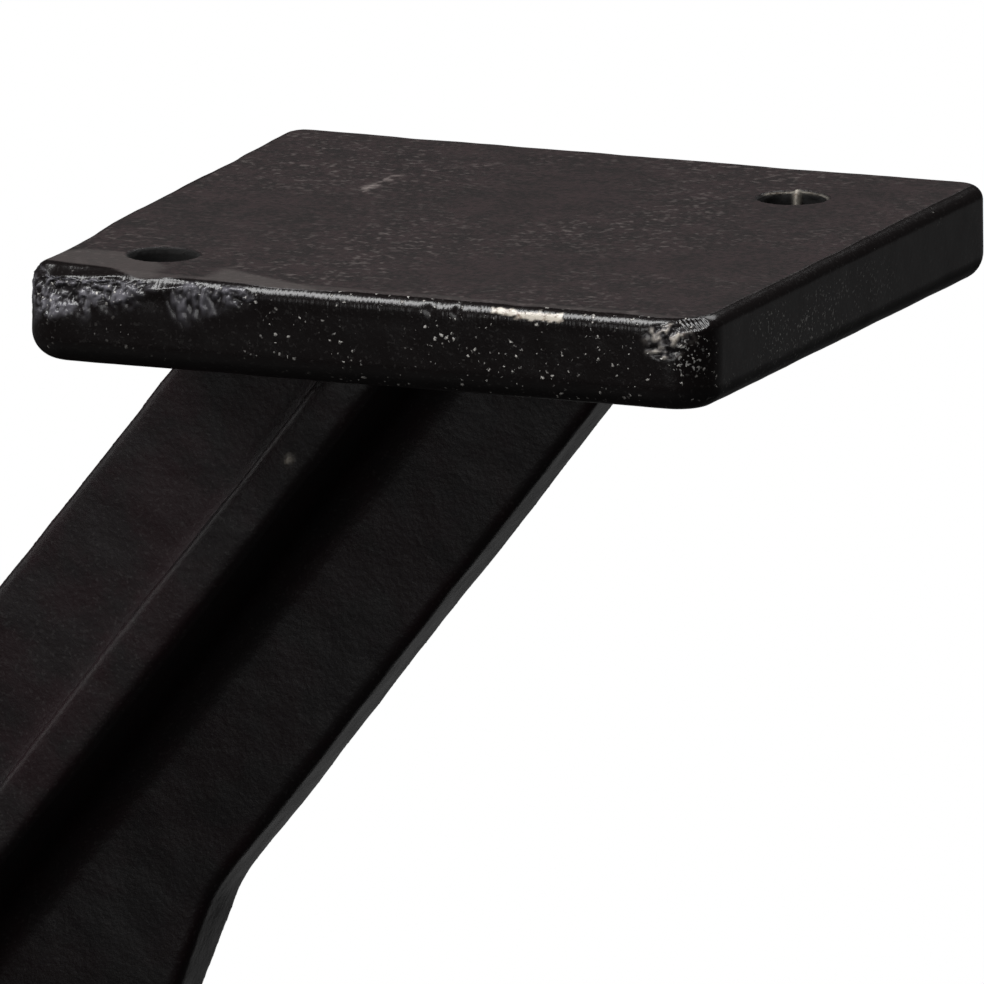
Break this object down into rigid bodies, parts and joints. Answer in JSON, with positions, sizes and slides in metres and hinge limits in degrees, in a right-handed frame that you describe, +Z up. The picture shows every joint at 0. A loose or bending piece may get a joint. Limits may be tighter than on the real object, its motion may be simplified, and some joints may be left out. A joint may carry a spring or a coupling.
{
  "type": "o-frame table leg",
  "caption": "Black-painted cast-iron end frame for a table: a ribbed ring on ribbed arms, with square bolt-on plates above and plain square feet below.",
  "frame": {"origin": "on the floor, midway between the two feet, in the frame's mid-plane", "axes": "+Z up towards the table top, +X along the frame's width, +Y across its depth; the picture looks from the -Y side"},
  "size_m": [0.6528, 0.1016, 0.7112],
  "materials": {
    "painted_iron": "black paint over a sand-cast skin: satin on the top faces, glossy and pitted on the edges, matte on the arms"
  },
  "bodies": {
    "root": {"leg_casting": "painted_iron"}
  },
  "joints": []
}
